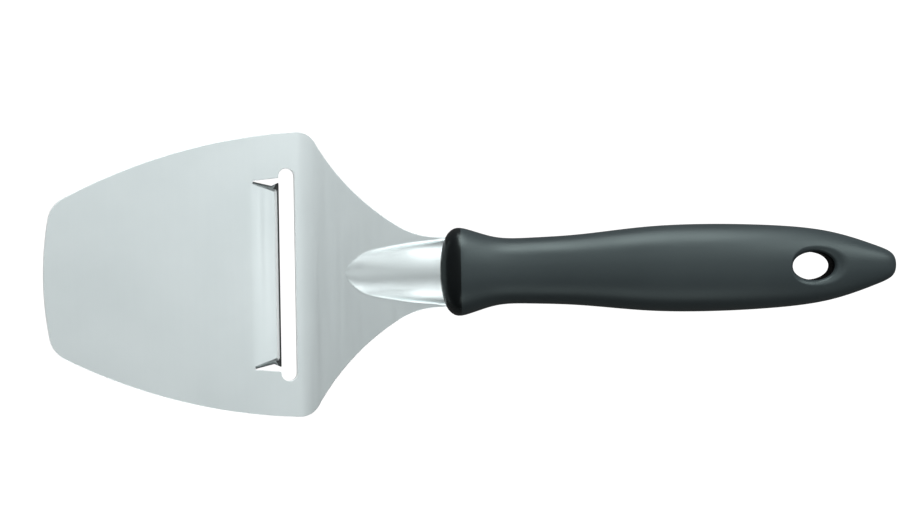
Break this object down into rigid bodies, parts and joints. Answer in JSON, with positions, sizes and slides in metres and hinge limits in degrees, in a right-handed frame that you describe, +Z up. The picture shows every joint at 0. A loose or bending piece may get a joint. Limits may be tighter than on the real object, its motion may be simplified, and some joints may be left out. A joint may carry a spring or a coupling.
{
  "type": "cheese slicer",
  "caption": "Hand cheese slicer: a flared steel plate with a raised cutting tongue and slot, a ribbed neck and a waisted black handle with a hanging hole.",
  "frame": {"origin": "middle of the slicer's box, on the table that it lies on, with the slice side up", "axes": "+X along the slicer from the plate's tip to the handle's butt, +Y across the blade, +Z up from the table"},
  "size_m": [0.2365, 0.0804, 0.0291],
  "materials": {
    "blade_steel": "satin",
    "core_plastic": "matte",
    "grip_plastic": "soft satin"
  },
  "bodies": {
    "root": {"blade": "blade_steel", "handle_core": "core_plastic", "handle_grip": "grip_plastic"}
  },
  "joints": []
}
